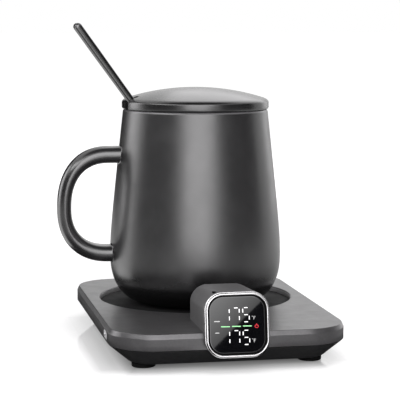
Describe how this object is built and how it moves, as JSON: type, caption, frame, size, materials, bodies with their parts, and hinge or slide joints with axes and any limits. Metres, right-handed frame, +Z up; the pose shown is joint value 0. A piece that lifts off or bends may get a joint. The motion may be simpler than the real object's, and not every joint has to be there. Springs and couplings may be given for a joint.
{
  "type": "self heating mug",
  "caption": "Lidded mug with a side handle and a spoon through the lid's open notch, standing in the well of a low rectangular warmer with a rounded-square display pod at its front.",
  "frame": {"origin": "on the table under the middle of the object's box", "axes": "+Z up, +Y from the display pod towards the mug's side of the warmer, +X away from the mug's handle"},
  "size_m": [0.13, 0.1682, 0.1616],
  "materials": {
    "glaze": "matte dark grey glaze",
    "spoon_black": "satin black",
    "deck_grey": "satin metallic grey",
    "plate_black": "matte black plate",
    "shell_black": "fine matte moulding",
    "rubber": "matte",
    "silicone": "soft satin silicone",
    "silver": "bright satin",
    "lens_black": "polished black",
    "steel": "fine brushed",
    "board_green": "solder mask",
    "white_plastic": "matte",
    "tongue_black": "matte",
    "mica": "matte mineral board",
    "heater_film": "amber film"
  },
  "bodies": {
    "warmer": {"deck_housing": "deck_grey", "heating_plate": "plate_black", "plate_gasket": "silicone", "heater_disc": "heater_film", "insulation_pad": "mica", "plate_retainer": "steel", "retainer_screw_1": "steel", "retainer_screw_2": "steel", "retainer_screw_3": "steel", "retainer_screw_4": "steel", "temperature_sensor": "white_plastic", "thermal_fuse": "steel", "bottom_shell": "shell_black", "foot_front_left": "rubber", "foot_front_right": "rubber", "foot_rear_left": "rubber", "foot_rear_right": "rubber", "case_screw_1": "steel", "case_screw_2": "steel", "case_screw_3": "steel", "case_screw_4": "steel", "pod_screw_1": "steel", "pod_screw_2": "steel", "pod_housing": "deck_grey", "display_bezel": "silver", "display_lens": "lens_black", "display_light_guide": "white_plastic", "display_board": "board_green", "inlet_shell": "steel", "inlet_tongue": "tongue_black", "control_board": "board_green"},
    "mug": {"mug_body": "glaze", "mug_handle": "glaze"},
    "lid": {"lid": "glaze", "lid_seal": "silicone"},
    "spoon": {"spoon": "spoon_black"}
  },
  "joints": [
    {"name": "mug_lift", "type": "slide", "parent": "warmer", "child": "mug", "axis": [0, 0, 1], "range_m": [0, 0.06]},
    {"name": "lid_lift", "type": "slide", "parent": "mug", "child": "lid", "axis": [0, 0, 1], "range_m": [0, 0.06]},
    {"name": "spoon_draw", "type": "slide", "parent": "mug", "child": "spoon", "axis": [-0.5896, -0.1135, 0.7997], "range_m": [0, 0.05]}
  ]
}
